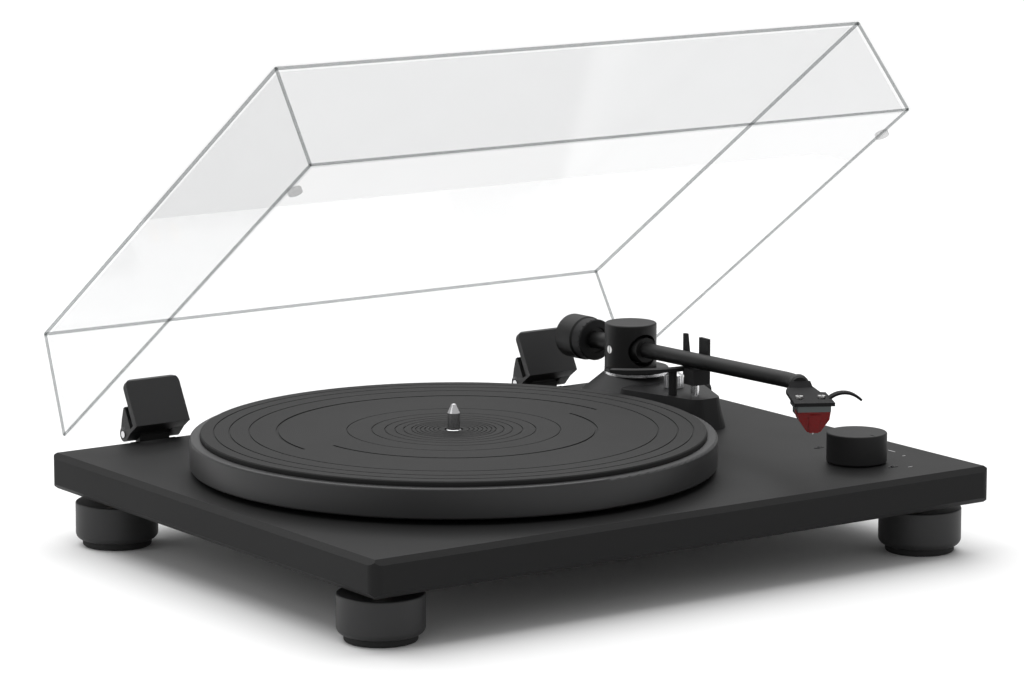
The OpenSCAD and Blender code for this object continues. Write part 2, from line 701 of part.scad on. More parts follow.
// ---- the part of the arm that turns
module pivot_housing() {
    edge = 1;
    low = stack_z + ring_t + swivel_t + gap - pivot_z;
    color(black) arm_frame_level() difference() {
        union() {
            translate([0, 0, low]) rotate_extrude() union() {
                square([housing_r - edge, housing_h]);
                square([housing_r, housing_h - edge]);
                translate([housing_r - edge, housing_h - edge]) intersection() {
                    circle(edge);
                    translate([-1, 0]) square([1 + edge, edge]);
                }
            }
            translate([0, 0, deck_z - pivot_z + 3.4])
                cylinder(r = 4.95, h = low + 1 - deck_z + pivot_z - 3.4);
        }
        translate([0, 0, low + 2.5]) cylinder(r = housing_r - 3.3, h = housing_h - 5.5);
        translate([-housing_r - 1, 0, 0]) rod_x(9.9, 2 * housing_r + 2);
        translate([0, -housing_r - 1, 0]) rod_y(2.5, 2 * housing_r + 2);
    }
}
module pivot_screws() {
    color("white") arm_frame_level() for (s = [0, 180]) rotate([0, 0, s])
        translate([0, housing_r - 4.3, 0]) difference() {
            rod_y(2.5, 4);
            translate([0, -1, 0]) rod_y(1.2 + run_fit, 2.5);
            translate([0, 3.6, 0]) cube([0.6, 1.2, 6], center = true);
        }
}
module pivot_block() {
    color(black) arm_frame() difference() {
        union() {
            translate([-9, 0, 0]) rod_x(8.2, 18);
            translate([9, 0, 0]) rotate([0, 90, 0]) cylinder(r1 = 8.2, r2 = 7.4, h = 8);
            translate([-62, 0, 0]) rod_x(5.2, 54);
            translate([0, -housing_r + 3.2, 0]) rod_y(1.2, 2 * housing_r - 6.4);
        }
        translate([6, 0, 0]) rod_x(tube_r, 14);
    }
}
module arm_tube() {
    straight = tube_run / cos(arm_slope) - bend_len;
    color(black) arm_frame() union() {
        translate([6, 0, 0]) rod_x(tube_r, straight - 5.8);
        translate([straight, -bend_r, 0]) rotate([0, 0, 90 - offset_angle])
            rotate_extrude(angle = offset_angle) translate([bend_r, 0]) circle(tube_r);
    }
}
module headshell_collar() {
    color(black) tube_end_frame() difference() {
        union() {
            translate([-4, 0, 0]) rod_x(tube_r + 1.1, 5);
            translate([1, 0, 0]) rotate([0, 90, 0]) cylinder(r1 = tube_r + 1.1, r2 = tube_r, h = 1.5);
        }
        translate([-5, 0, 0]) rod_x(tube_r + 0.2, 5.02);
    }
}
// Top face of the plate in the head's frame, from its narrow back to its wide front.
head_outline = [[-45, -7], [-45, 7], [-27, 8.6], [-26, 11.5], [6, 11.5], [6, -11.5], [-34, -10]];
hole_back = 9.5;
hole_side = 6.35;
module headshell() {
    z1 = plate_top - plate_t;
    color(dark) union() {
        head_frame() difference() {
            translate([0, 0, z1]) linear_extrude(plate_t) polygon(head_outline);
            for (s = [-1, 1]) translate([-hole_back, s * hole_side, z1 - 1]) {
                translate([-3, -1.4, 0]) cube([6, 2.8, 5]);
                for (x = [-3, 3]) translate([x, 0, 0]) cylinder(r = 1.4, h = 5);
            }
        }
        hull() {
            head_frame() translate([-45.2, -6.8, z1 + 0.1]) cube([4, 13.6, plate_t - 0.2]);
            tube_end_frame() translate([2.55, -5.8, -2.6]) cube([0.4, 11.6, 5.2]);
        }
        // Finger lift: a strip that rises, then curls down at its end.
        head_frame() translate([-13, 10, z1 + 1]) rotate([90, 0, 90]) linear_extrude(6) {
            translate([9, -9]) polygon(arc_strip(12.7, 1.3, 135, 52));
            translate([16.8, 1.1]) rotate(-38) translate([-0.3, -0.65]) square([3, 1.3]);
        }
    }
}
module headshell_screws() {
    color("white") head_frame() for (s = [-1, 1])
        translate([-hole_back, s * hole_side, plate_top + 0.02]) difference() {
            union() {
                cylinder(r = 2.2, h = 1.3);
                translate([0, 0, -5.5]) cylinder(r = 1.2, h = 5.6);
            }
            translate([0, 0, 1.1]) cube([6, 0.6, 0.8], center = true);
        }
}
module cartridge_body() {
    top = plate_top - plate_t;
    color([0.13, 0.15, 0.15]) head_frame() difference() {
        union() {
            translate([-22, -9.4, top - 3.4]) cube([27, 18.8, 3.38]);
            translate([-22, -8, top - 8]) cube([14, 16, 4.7]);
            for (y = [-4.5, -1.5, 1.5, 4.5]) translate([-26.5, y, top - 5.5]) rod_x(0.6, 5);
        }
        for (s = [-1, 1]) translate([-hole_back, s * hole_side, top - 6]) cylinder(r = 1.2, h = 8);
    }
}
module stylus_holder() {
    top = plate_top - plate_t - 3.42;
    color("firebrick") head_frame() union() {
        hull() {
            translate([-7.5, -9.2, top - 0.6]) cube([12.2, 18.4, 0.6]);
            translate([-7.5, -8.6, top - 4.6]) cube([11.9, 17.2, 0.4]);
        }
        hull() {
            translate([-7.5, -8.6, top - 4.5]) cube([11.9, 17.2, 0.4]);
            translate([-5.5, -3.8, top - 11.6]) cube([8.6, 7.6, 0.4]);
        }
        hull() {
            translate([-7.5, -3.2, top - 2]) cube([12.8, 6.4, 0.4]);
            translate([-3.5, -2.6, top - 12]) cube([7.4, 5.2, 0.4]);
        }
    }
}
module cantilever() {
    start = plate_top - plate_t - 3.42 - 12.06;
    drop = start - 0.28 - 1.3;
    color("silver") head_frame() union() {
        translate([-4, 0, start - 0.28]) rotate([0, 90 + atan(drop / 4), 0])
            cylinder(r = 0.3, h = norm([4, drop]) + 0.4);
        cylinder(r1 = 0.05, r2 = 0.3, h = 1.4);
    }
}
weight_s = 46.5;
module counterweight() {
    color(black) arm_frame() translate([-weight_s, 0, 0]) difference() {
        union() {
            translate([-weight_len, 0, 0]) rod_x(weight_r, weight_len - 0.8);
            translate([-0.8, 0, 0]) rotate([0, 90, 0])
                cylinder(r1 = weight_r, r2 = weight_r - 0.8, h = 0.8);
            rod_x(8, 8);
        }
        translate([-weight_len - 1, 0, 0]) rod_x(5.2 + run_fit, weight_len + 12);
    }
}
module weight_dial() {
    color(dark) arm_frame() translate([-weight_s + gap, 0, 0]) difference() {
        union() {
            rod_x(12.6, 8.2);
            translate([8.2, 0, 0]) rotate([0, 90, 0]) cylinder(r1 = 12.6, r2 = 12, h = 0.6);
        }
        translate([-1, 0, 0]) rod_x(8 + run_fit, 12);
        for (a = [0:15:345]) rotate([a, 0, 0]) translate([7.9, 0, 12.4]) cube([2, 0.5, 0.8], center = true);
    }
}

// ---- hinges and dust cover
module at_hinges() { for (s = [-1, 1]) translate([s * (right_x - hinge_from_side), 0, 0]) children(); }
module hinge_brackets() {
    color(dark) at_hinges() difference() {
        union() {
            translate([-15, back_y, plinth_z + 2]) cube([30, 2.6, plinth_h - 3]);
            translate([-bracket_w / 2, axis_y, axis_z]) rod_x(knuckle_r, bracket_w);
            translate([-bracket_w / 2, back_y, axis_z - 9]) cube([bracket_w, hinge_back, 8]);
        }
        translate([-20, axis_y, axis_z]) rod_x(pin_r, 40);
        for (t = [-1, 1]) translate([t * 6, back_y - 1, panel_z]) rod_y(1.6, 12);
    }
}
module hinge_pins() {
    color("silver") at_hinges() union() {
        translate([-hinge_w / 2 - 0.6, axis_y, axis_z]) rod_x(pin_r, hinge_w + 1.2);
        for (t = [-1, 1]) translate([t * 6, back_y - 9.5, panel_z]) {
            rod_y(1.5, 12.5);
            translate([0, 12.12, 0]) rod_y(2.8, 1.6);
        }
    }
}
// The closed cover's back wall: y of its outer face at height h above the rim.
function wall_y(h) = front_y + cover_back - back_lean * h / cover_h;
module hinge_sockets() {
    plate = 4;
    tall = 27;
    inner = cover_wall * (1 + back_lean / cover_h) + gap / 2;
    cheek = (hinge_w - bracket_w) / 2 - gap;
    web = cover_gap - 0.8;
    plate_corner_r = 5;
    color(dark) cover_pose() at_hinges() intersection() {
        translate([0, axis_y, rim_z + tall / 2 - 30]) along_y(60)
            rounded_rect(hinge_w, tall + 60, plate_corner_r);
        difference() {
            union() {
                along_x(hinge_w) translate([0, rim_z]) polygon([
                    [wall_y(0) - inner - plate, -web], [wall_y(0) + 2.4, -web], [wall_y(0) + 3, 0],
                    [wall_y(tall / 2) + 2.4, tall / 2], [wall_y(tall / 2) + gap / 2, tall / 2],
                    [wall_y(0) + gap / 2, -gap / 8], [wall_y(0) - inner, -gap / 8],
                    [wall_y(tall) - inner, tall], [wall_y(tall) - inner - plate + 1.5, tall],
                    [wall_y(tall - 1.5) - inner - plate, tall - 1.5]]);
                for (s = [-1, 1]) translate([s * (hinge_w - cheek) / 2, 0, 0]) {
                    along_x(cheek) polygon([[wall_y(0) + 1, rim_z - web], [axis_y, axis_z - knuckle_r],
                        [axis_y + 2, axis_z + 3], [axis_y - 3, axis_z + 8], [wall_y(0) + 1, rim_z + 13]]);
                    translate([-cheek / 2, axis_y, axis_z]) rod_x(knuckle_r, cheek);
                }
            }
            translate([-20, axis_y, axis_z]) rod_x(pin_r + run_fit, 40);
        }
    }
}
// Solid of the closed cover, its walls moved in by t.
module cover_solid(t) {
    w = cover_w / 2 - t;
    f = cover_back - cover_d + t;
    b = cover_back - t;
    h = cover_h - t;
    translate([0, front_y, rim_z]) intersection() {
        along_y(3 * plinth_d) polygon([[-w, -t], [w, -t], [w - side_lean, h], [-w + side_lean, h]]);
        along_x(2 * plinth_w) polygon([[f, -t], [b, -t], [b - back_lean, h], [f + front_lean, h]]);
    }
}
module dust_cover() {
    color([0.85, 0.87, 0.88, 0.3]) cover_pose() difference() {
        cover_solid(0);
        cover_solid(cover_wall);
    }
}
module cover_bumpers() {
    // Clear buttons on the rim that land on the deck.
    color([0.8, 0.8, 0.8, 0.5]) cover_pose() for (s = [-1, 1])
        translate([s * (cover_w / 2 - 4.2), front_y + cover_back - cover_d + 27, rim_z - cover_gap + 0.3])
            cylinder(r = 4, h = cover_gap - 0.3);
}

plinth();
bottom_cover();
cover_screws();
foot_inserts();
foot_front_left();
foot_front_right();
foot_back_left();
foot_back_right();
stud_front_left();
stud_front_right();
stud_back_left();
stud_back_right();
pad_front_left();
pad_front_right();
pad_back_left();
pad_back_right();
main_bearing();
bearing_screws();
thrust_ball();
platter();
platter_mat();
spindle();
motor();
pulley();
drive_belt();
circuit_board();
speed_switch();
speed_knob();
indicator_lights();
rear_panel();
signal_sockets();
power_inlet();
ground_terminal();
preamp_switch();
arm_base();
arm_bearing();
base_ring();
swivel_plate();
arm_rest_post();
arm_rest();
antiskate_knob();
lift_platform();
lift_lever();
pivot_housing();
pivot_screws();
pivot_block();
arm_tube();
headshell_collar();
headshell();
headshell_screws();
cartridge_body();
stylus_holder();
cantilever();
counterweight();
weight_dial();
hinge_brackets();
hinge_pins();
hinge_sockets();
dust_cover();
cover_bumpers();
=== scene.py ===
# %% [markdown]
# # Finishing a belt-drive record player
# The engineered model already has every sheet, shaft and screw. This lesson gives it the look
# of the real thing: textured black paint, soft rubber, turned aluminium, a translucent red
# stylus holder and a clear cover whose polished edges catch the light. It also adds the small
# pieces that are looks only: printed marks, cartridge leads, socket rings and thin grey bars at the
# cover's joints and edges, which are painted edge refraction.
#
# The model is loaded first. Nothing added may reach past it.

import bpy
import math
from mathutils import Matrix, Vector


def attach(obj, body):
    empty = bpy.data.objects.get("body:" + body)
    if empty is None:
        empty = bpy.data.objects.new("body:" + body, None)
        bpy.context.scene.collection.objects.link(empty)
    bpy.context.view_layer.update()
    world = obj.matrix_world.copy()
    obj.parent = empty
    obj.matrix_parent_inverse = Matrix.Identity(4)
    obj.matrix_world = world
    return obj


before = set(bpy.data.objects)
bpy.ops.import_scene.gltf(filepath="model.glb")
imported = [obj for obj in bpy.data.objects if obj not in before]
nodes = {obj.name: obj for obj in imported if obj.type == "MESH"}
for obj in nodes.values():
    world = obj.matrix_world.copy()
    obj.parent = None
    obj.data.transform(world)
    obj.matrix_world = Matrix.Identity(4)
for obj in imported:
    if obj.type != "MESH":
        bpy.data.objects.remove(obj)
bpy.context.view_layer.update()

# %% [markdown]
# ## Places that several pieces share
# The deck, the hinge line and the tonearm's head are needed again and again. Each is written
# down once, in metres, in the same frame as the engineered model. The head's own frame has +X
# out of the front of the headshell, so leads and clips can be placed as on a workbench.

# %% Shared places
DECK = 0.0514
FRONT = -0.183896
BACK = FRONT + 0.341
PLATTER = Vector((-0.0444, FRONT + 0.1697, 0))
PIVOT = Vector((0.1425, FRONT + 0.254, DECK + 0.0381))
KNOB = Vector((0.154, FRONT + 0.0525, DECK))
HINGE = Vector((0, FRONT + 0.346, DECK + 0.0037))
TIP_Z = 0.0758
PARKED_AT = -92.4  # degrees, from +X to the straight part of the tube
HEAD_OFFSET = -27  # degrees, from the straight part of the tube to the headshell
TO_BEND = 0.16878
BEND_TO_TIP = 0.060
ARM_TURN = Matrix.Rotation(math.radians(PARKED_AT), 4, "Z")
HEAD_TURN = ARM_TURN @ Matrix.Rotation(math.radians(HEAD_OFFSET), 4, "Z")


def head_point(x, y, z):
    """A point given from the stylus tip, +X to the front of the headshell."""
    bend = PIVOT + ARM_TURN @ Vector((TO_BEND, 0, 0))
    tip = bend + HEAD_TURN @ Vector((BEND_TO_TIP, 0, 0))
    return Vector((tip.x, tip.y, TIP_Z)) + HEAD_TURN @ Vector((x, y, z))


print("stylus tip at", [round(v, 4) for v in head_point(0, 0, 0)])

# %% [markdown]
# ## One recipe for painted, moulded and turned surfaces
# Real surfaces are never one flat value. Paint pools and thins, rubber blooms, and fingers
# polish the places they touch. The recipe makes three layers from one set of coordinates:
# a slow noise shifts the colour and also the roughness, and a fine grain gives the
# bump. Stretching the grain along one direction turns it into brushing; rings round a centre
# turn it into lathe marks. A little wear lightens what faces up, where dust settles.


# %% The surface recipe
PATCHES = 14.0  # slow noise, about one patch in 7 cm
LATHE_RINGS = 320.0
DUST_COLOUR = (0.35, 0.34, 0.33, 1)
ROUGH_SPREAD = 0.06


def finish(name, color, rough, metal=0.0, vary=0.15, grain=900.0, bump=0.05, depth=0.0002,
           stretch=(1, 1, 1), rings=None, dust=0.0, spec=0.5):
    """A surface with patches, grain and, if asked, lathe rings round a point."""
    mat = bpy.data.materials.new(name)
    mat.use_nodes = True
    tree = mat.node_tree
    new, link = tree.nodes.new, tree.links.new
    shader = tree.nodes["Principled BSDF"]
    shader.inputs["Metallic"].default_value = metal
    shader.inputs["Specular IOR Level"].default_value = spec
    coord = new("ShaderNodeTexCoord")
    place = new("ShaderNodeMapping")
    place.inputs["Scale"].default_value = stretch
    link(coord.outputs["Object"], place.inputs["Vector"])

    slow = new("ShaderNodeTexNoise")
    slow.inputs["Scale"].default_value = PATCHES
    slow.inputs["Detail"].default_value = 5.0
    link(coord.outputs["Object"], slow.inputs["Vector"])
    tint = new("ShaderNodeMix")
    tint.data_type = "RGBA"
    tint.inputs[6].default_value = [c * (1 - vary) for c in color] + [1]
    tint.inputs[7].default_value = [min(1.0, c * (1 + vary)) for c in color] + [1]
    link(slow.outputs["Fac"], tint.inputs[0])

    settle = new("ShaderNodeMix")
    settle.data_type = "RGBA"
    settle.inputs[7].default_value = DUST_COLOUR
    geometry = new("ShaderNodeNewGeometry")
    up = new("ShaderNodeSeparateXYZ")
    link(geometry.outputs["Normal"], up.inputs[0])
    amount = new("ShaderNodeMath")
    amount.operation = "MULTIPLY"
    amount.use_clamp = True
    amount.inputs[1].default_value = dust
    link(up.outputs["Z"], amount.inputs[0])
    link(amount.outputs[0], settle.inputs[0])
    link(tint.outputs[2], settle.inputs[6])
    link(settle.outputs[2], shader.inputs["Base Color"])

    fine = new("ShaderNodeTexNoise")
    fine.inputs["Scale"].default_value = grain
    fine.inputs["Detail"].default_value = 3.0
    link(place.outputs["Vector"], fine.inputs["Vector"])
    shine = new("ShaderNodeMapRange")
    shine.inputs["To Min"].default_value = max(0.02, rough - ROUGH_SPREAD)
    shine.inputs["To Max"].default_value = min(1.0, rough + ROUGH_SPREAD)
    link(slow.outputs["Fac"], shine.inputs["Value"])
    link(shine.outputs["Result"], shader.inputs["Roughness"])

    height = fine.outputs["Fac"]
    if rings:
        centre = new("ShaderNodeMapping")
        centre.inputs["Location"].default_value = [-c for c in rings]
        link(coord.outputs["Object"], centre.inputs["Vector"])
        lathe = new("ShaderNodeTexWave")
        lathe.wave_type = "RINGS"
        lathe.rings_direction = "Z"
        lathe.inputs["Scale"].default_value = LATHE_RINGS
        lathe.inputs["Distortion"].default_value = 0.4
        link(centre.outputs["Vector"], lathe.inputs["Vector"])
        both = new("ShaderNodeMath")
        both.operation = "ADD"
        link(lathe.outputs["Fac"], both.inputs[0])
        link(fine.outputs["Fac"], both.inputs[1])
        height = both.outputs[0]
    relief = new("ShaderNodeBump")
    relief.inputs["Strength"].default_value = bump
    relief.inputs["Distance"].default_value = depth
    link(height, relief.inputs["Height"])
    link(relief.outputs["Normal"], shader.inputs["Normal"])
    return mat


# %% [markdown]
# ## The black surfaces
# Nearly everything here is black, so the blacks have to differ. The plinth is sprayed with a
# fine textured paint that scatters light and reads dark grey from above. The platter's rim is
# smooth satin paint. The mat is rubber, dull and slightly dusty. The tonearm is the darkest and
# smoothest, and the moulded feet sit in between.

# %% Black paint, plastic and rubber
plinth_paint = finish("plinth_textured_paint", (0.0125, 0.0125, 0.0127), 0.54, spec=0.11,
                      grain=1500, bump=0.35, depth=0.00012, dust=0.005)
platter_paint = finish("platter_satin_paint", (0.023, 0.023, 0.0235), 0.42, spec=0.32,
                       grain=700, bump=0.04, rings=PLATTER)
mat_rubber = finish("mat_rubber", (0.015, 0.015, 0.015), 0.62, spec=0.13, grain=1100, bump=0.20,
                    dust=0.008, rings=PLATTER)
foot_plastic = finish("foot_moulded_plastic", (0.021, 0.021, 0.0215), 0.50, spec=0.35,
                      grain=1300, bump=0.15)
pad_rubber = finish("pad_rubber", (0.012, 0.012, 0.012), 0.85, grain=1500, bump=0.3)
arm_paint = finish("arm_satin_paint", (0.008, 0.008, 0.008), 0.46, spec=0.25, grain=1800, bump=0.06)
arm_plastic = finish("arm_base_plastic", (0.008, 0.008, 0.0085), 0.52, spec=0.25, grain=1500,
                     bump=0.15, dust=0.008)
shell_plastic = finish("headshell_plastic", (0.009, 0.009, 0.0095), 0.58, spec=0.08,
                       grain=1600, bump=0.12)
control_plastic = finish("control_plastic", (0.014, 0.014, 0.0145), 0.55, spec=0.18,
                         grain=1400, bump=0.12)
hinge_plastic = finish("hinge_plastic", (0.018, 0.018, 0.0185), 0.5, spec=0.35,
                       grain=1200, bump=0.12)
powder_coat = finish("powder_coat", (0.014, 0.014, 0.014), 0.6, grain=1000, bump=0.4)
belt_rubber = finish("belt_rubber", (0.02, 0.018, 0.017), 0.8, grain=1600, bump=0.3)
grey_plastic = finish("cartridge_grey", (0.045, 0.055, 0.055), 0.32, grain=1500, bump=0.04)
print("black finishes:", len(bpy.data.materials))

# %% [markdown]
# ## Bright metal
# The spindle, the anti-skating knob and the rest's post are turned, so their marks run round
# the part and their highlights spread along it. Screws are plated and a little duller. Brass is
# only seen in the sockets at the back and in the bearing when the platter is lifted off.

# %% Metals
turned = finish("turned_aluminium", (0.72, 0.72, 0.73), 0.26, metal=1, vary=0.05, grain=2400,
                bump=0.12, stretch=(1, 1, 12))
ground_steel = finish("ground_steel", (0.60, 0.60, 0.61), 0.18, metal=1, vary=0.05, grain=2400,
                      bump=0.05, stretch=(1, 1, 10))
plated = finish("plated_screws", (0.66, 0.66, 0.65), 0.28, metal=1, vary=0.08, grain=1200)
zinc = finish("zinc_plate", (0.5, 0.5, 0.49), 0.4, metal=1, vary=0.15, grain=300)
brass = finish("turned_brass", (0.70, 0.50, 0.20), 0.25, metal=1, vary=0.08, grain=1200)
board = finish("circuit_board_green", (0.015, 0.11, 0.04), 0.4, grain=500)
print("finishes so far:", len(bpy.data.materials))

# %% [markdown]
# ## Translucent red
# The stylus holder is tinted acrylic, so some light goes in and comes out redder. A part of the
# light is transmitted and the rest is scattered by the tint. A slow noise keeps the thick and
# thin regions from looking alike.

# %% Stylus holder
stylus_red = finish("stylus_translucent_red", (0.17, 0.001, 0.001), 0.14, spec=0.05, grain=600,
                    bump=0.02, vary=0.35)
red_shader = stylus_red.node_tree.nodes["Principled BSDF"]
red_shader.inputs["Transmission Weight"].default_value = 0.25
red_shader.inputs["Subsurface Weight"].default_value = 0.35
red_shader.inputs["Subsurface Scale"].default_value = 0.002
red_shader.inputs["Subsurface Radius"].default_value = (1.0, 0.1, 0.05)
print("stylus holder:", stylus_red.name)

# %% [markdown]
# ## Clear acrylic
# A clear cover is mostly what is behind it. Each wall passes nearly all light straight through
# and mirrors a little at a glancing angle, more towards the edge of view. Faint smears, from
# wiping, break up the reflection. Passing light straight through also keeps the shadow under
# the cover pale, as it is under real acrylic.


# %% Clear cover
GLANCING_GAIN = 0.35
LEAST_ROUGH = 0.02


def clear(name, tint, gloss, smear):
    """Clear plastic: tint per surface, mirror share seen head on, roughness of the smears."""
    mat = bpy.data.materials.new(name)
    mat.use_nodes = True
    tree = mat.node_tree
    new, link = tree.nodes.new, tree.links.new
    tree.nodes.remove(tree.nodes["Principled BSDF"])
    through = new("ShaderNodeBsdfTransparent")
    mirror = new("ShaderNodeBsdfGlossy")
    blend = new("ShaderNodeMixShader")
    angle = new("ShaderNodeLayerWeight")
    steep = new("ShaderNodeMath")
    steep.operation = "POWER"
    steep.inputs[1].default_value = 5.0
    share = new("ShaderNodeMapRange")
    share.inputs["To Min"].default_value = gloss
    share.inputs["To Max"].default_value = gloss + GLANCING_GAIN
    link(angle.outputs["Facing"], steep.inputs[0])
    link(steep.outputs[0], share.inputs["Value"])
    coord = new("ShaderNodeTexCoord")
    wipe = new("ShaderNodeTexNoise")
    wipe.inputs["Scale"].default_value = 25.0
    wipe.inputs["Detail"].default_value = 6.0
    link(coord.outputs["Object"], wipe.inputs["Vector"])
    rough = new("ShaderNodeMapRange")
    rough.inputs["To Min"].default_value = LEAST_ROUGH
    rough.inputs["To Max"].default_value = LEAST_ROUGH + smear
    link(wipe.outputs["Fac"], rough.inputs["Value"])
    link(rough.outputs["Result"], mirror.inputs["Roughness"])
    cloud = new("ShaderNodeMix")
    cloud.data_type = "RGBA"
    cloud.inputs[6].default_value = [c * 0.985 for c in tint] + [1]
    cloud.inputs[7].default_value = [*tint, 1]
    link(wipe.outputs["Fac"], cloud.inputs[0])
    link(cloud.outputs[2], through.inputs["Color"])
    link(share.outputs["Result"], blend.inputs[0])
    link(through.outputs[0], blend.inputs[1])
    link(mirror.outputs[0], blend.inputs[2])
    link(blend.outputs[0], tree.nodes["Material Output"].inputs["Surface"])
    return mat


clear_acrylic = clear("clear_acrylic", (0.946, 0.947, 0.948), 0.008, 0.10)
clear_soft = clear("clear_soft_bumper", (0.80, 0.80, 0.80), 0.08, 0.25)
clear_lens = clear("smoked_lens", (0.30, 0.30, 0.32), 0.05, 0.10)
# grey tint painted in as the refraction seen along the cover's joints and edges
painted_refraction_tint = clear("painted_edge_refraction", (0.66, 0.67, 0.67), 0.02, 0.30)
print("all finishes:", len(bpy.data.materials))

# %% [markdown]
# ## Give every engineered piece its finish
# The finishes go to the pieces by name, and each piece's slots all take the same one.

# %% Paint the engineered pieces
FINISHES = {
    plinth_paint: ["plinth"],
    powder_coat: ["bottom_cover", "rear_panel", "hinge_brackets"],
    plated: ["cover_screws", "bearing_screws", "pivot_screws", "headshell_screws",
             "stud_front_left", "stud_front_right", "stud_back_left", "stud_back_right"],
    brass: ["foot_inserts", "main_bearing", "arm_bearing", "signal_sockets"],
    foot_plastic: ["foot_front_left", "foot_front_right", "foot_back_left", "foot_back_right"],
    pad_rubber: ["pad_front_left", "pad_front_right", "pad_back_left", "pad_back_right"],
    platter_paint: ["platter"],
    mat_rubber: ["platter_mat"],
    ground_steel: ["spindle", "thrust_ball", "hinge_pins"],
    zinc: ["motor"],
    turned: ["pulley", "base_ring", "arm_rest_post", "antiskate_knob", "cantilever",
             "ground_terminal"],
    belt_rubber: ["drive_belt"],
    board: ["circuit_board"],
    control_plastic: ["speed_knob", "speed_switch", "preamp_switch", "power_inlet", "arm_rest",
                      "lift_platform", "lift_lever", "weight_dial"],
    clear_lens: ["indicator_lights"],
    arm_plastic: ["arm_base"],
    shell_plastic: ["headshell"],
    arm_paint: ["pivot_housing", "swivel_plate", "pivot_block", "arm_tube", "headshell_collar",
                "counterweight"],
    grey_plastic: ["cartridge_body"],
    stylus_red: ["stylus_holder"],
    hinge_plastic: ["hinge_sockets"],
    clear_acrylic: ["dust_cover"],
    clear_soft: ["cover_bumpers"],
}
painted = 0
for material, names in FINISHES.items():
    for name in names:
        for place in nodes[name].material_slots:
            place.material = material
        painted += 1
print("painted", painted, "of", len(nodes))

# %% [markdown]
# ## Soften the edges that are seen
# No real edge is perfectly sharp, and the thin bright line on a rounded edge is what separates
# black from black. The widths are in metres, and only corners sharper than 35 degrees are cut.

# %% Small bevels
ROUNDED = {"plinth": 0.0005, "hinge_sockets": 0.0004, "hinge_brackets": 0.0004,
           "headshell": 0.0003, "arm_rest": 0.0003, "arm_base": 0.0006, "stylus_holder": 0.0002,
           "platter_mat": 0.0002, "cartridge_body": 0.0002, "rear_panel": 0.0002}
for name, width in ROUNDED.items():
    bevel = nodes[name].modifiers.new("soft_edge", "BEVEL")
    bevel.width = width
    bevel.segments = 2
    bevel.limit_method = "ANGLE"
    bevel.angle_limit = math.radians(35)
print("rounded:", len(ROUNDED))

# %% [markdown]
# ## Helpers for small added pieces
# Added pieces start as plain primitives. Their place is applied into the mesh, so that every
# object keeps its origin at the frame's origin and rides its body without an offset.


# %% Piece helpers
def fresh():
    for o in bpy.context.selected_objects:
        o.select_set(False)


def settle_piece(name, mat, body):
    piece = bpy.context.active_object
    piece.name = name
    bpy.ops.object.transform_apply(location=True, rotation=True, scale=True)
    piece.data.materials.clear()
    piece.data.materials.append(mat)
    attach(piece, body)
    return piece


def rod(name, a, b, radius, mat, body, sides=12):
    """A thin round bar from a to b."""
    a, b = Vector(a), Vector(b)
    turn = (b - a).to_track_quat("Z", "Y").to_euler()
    fresh()
    bpy.ops.mesh.primitive_cylinder_add(vertices=sides, radius=radius, depth=(b - a).length,
                                        location=(a + b) / 2, rotation=turn)
    return settle_piece(name, mat, body)


def wire(name, points, radius, mat, body):
    """A thin bent wire through the given points."""
    fresh()
    bpy.ops.curve.primitive_nurbs_path_add()
    line = bpy.context.active_object
    bpy.ops.object.mode_set(mode="EDIT")
    bpy.ops.curve.select_all(action="SELECT")
    bpy.ops.object.mode_set(mode="OBJECT")
    spline = line.data.splines[0]
    for point, at in zip(spline.points, points):
        point.co = (*at, 1)
    spline.use_endpoint_u = True
    line.data.bevel_depth = radius
    line.data.bevel_resolution = 3
    line.data.use_fill_caps = True
    bpy.ops.object.convert(target="MESH")
    bpy.ops.object.shade_smooth()
    return settle_piece(name, mat, body)


# %% [markdown]
# ## Painted edge lines of the cover
# The cover is built from flat acrylic sheets joined at the corners. Seen through, each joint and
# each cut edge gathers light from far along the sheet and shows as a thin grey line. That line is
# painted: a thin bar of slightly darker clear material inside the wall, at each joint and edge,
# stands in for it. The corners are worked out on the closed cover and then opened about the hinge
# line with it.


# %% Cover painted edge lines
OPEN_ANGLE = 35
COVER_FRONT = 0.0068  # from the plinth's front to the cover's
RIM_GAP = 0.0029
HALF_WIDTH, DEPTH, HEIGHT = 0.204, 0.330, 0.0635
FRONT_LEAN, BACK_LEAN, SIDE_LEAN = 0.0065, 0.0081, 0.0047
WALL = 0.0016  # from a wall's outer face to its painted edge line
CORNER_R, CROWN_R, RIM_R = 0.0009, 0.0010, 0.0008


def opened(x, y, z):
    """A point of the closed cover (y from its front, z from its rim), in the open pose."""
    turn = Matrix.Rotation(math.radians(-OPEN_ANGLE), 4, "X")
    closed = Vector((x, FRONT + COVER_FRONT + y, DECK + RIM_GAP + z))
    return HINGE + turn @ (closed - HINGE)


low, high = 0.0009, HEIGHT - WALL
near, far = FRONT_LEAN * high / HEIGHT, BACK_LEAN * high / HEIGHT
lean = SIDE_LEAN * high / HEIGHT
rim, crown = [], []
for sx, sy in ((-1, 0), (1, 0), (1, 1), (-1, 1)):
    rim.append((sx * (HALF_WIDTH - WALL), WALL if sy == 0 else DEPTH - WALL, low))
    crown.append((sx * (HALF_WIDTH - WALL - lean),
                  WALL + near if sy == 0 else DEPTH - WALL - far, high))
# bars of darker clear material: painted refraction along the cover's joints and edges
painted_edge_lines = []
for i in range(4):
    j = (i + 1) % 4
    painted_edge_lines.append(rod(f"cover_corner_{i}", opened(*rim[i]), opened(*crown[i]), CORNER_R,
                     painted_refraction_tint, "dust_cover"))
    painted_edge_lines.append(rod(f"cover_crown_{i}", opened(*crown[i]), opened(*crown[j]), CROWN_R,
                     painted_refraction_tint, "dust_cover"))
    if i != 2:
        painted_edge_lines.append(rod(f"cover_rim_{i}", opened(*rim[i]), opened(*rim[j]), RIM_R,
                         painted_refraction_tint, "dust_cover"))
print("cover seams:", len(painted_edge_lines))

